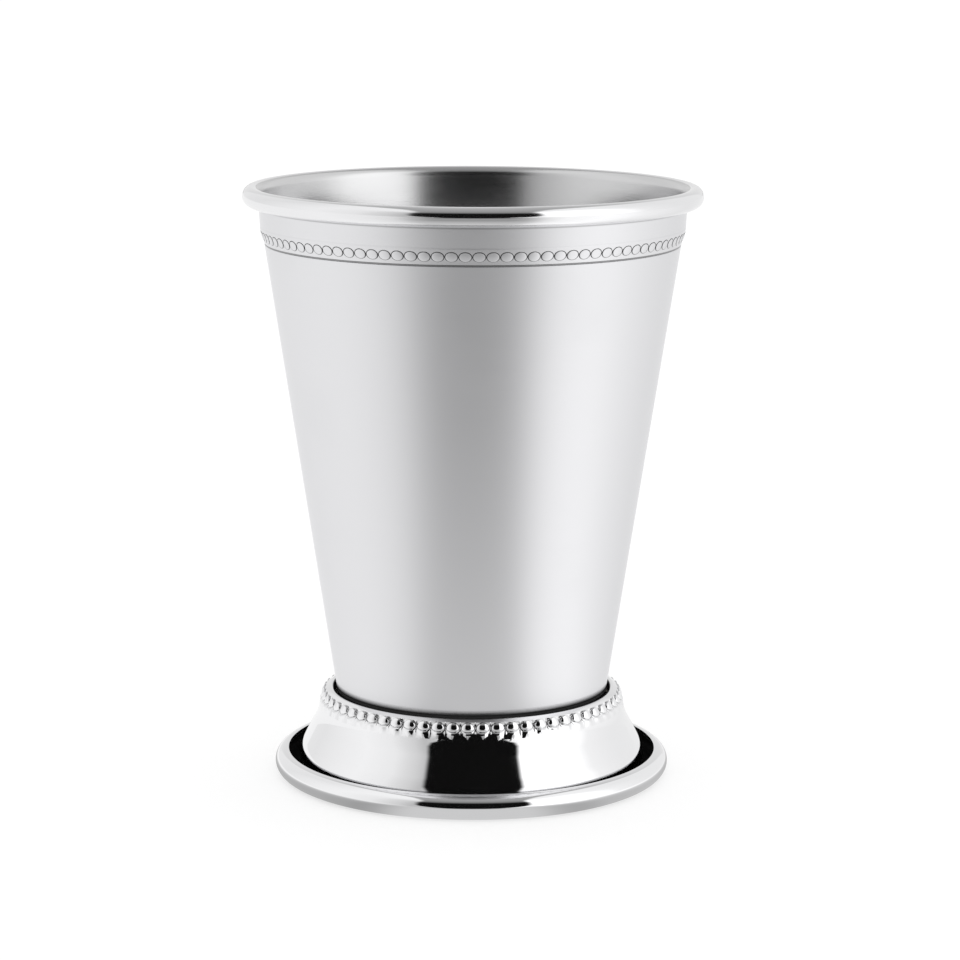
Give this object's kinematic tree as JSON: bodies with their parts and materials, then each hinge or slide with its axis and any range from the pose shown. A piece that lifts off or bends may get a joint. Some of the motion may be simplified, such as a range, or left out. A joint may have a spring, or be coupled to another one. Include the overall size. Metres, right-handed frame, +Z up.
{
  "type": "julep cup",
  "caption": "Footed julep cup that holds a short iced drink: tapered sheet steel body with rolled rim and beaded band, on a flared foot with beaded shoulder and rolled edge.",
  "frame": {"origin": "on the table, on the cup's axis, under the middle of the foot", "axes": "+Z up along the cup's axis of symmetry; -Y is the front that the picture shows; +X to the right seen from the front"},
  "size_m": [0.0828, 0.0828, 0.108],
  "materials": {
    "satin_steel": "satin, turned and brushed round the cup",
    "polished_steel": "mirror polished stainless steel",
    "braze_metal": "as run, slightly dull"
  },
  "bodies": {
    "root": {"cup_body": "satin_steel", "foot": "polished_steel", "braze_ring": "braze_metal"}
  },
  "joints": []
}
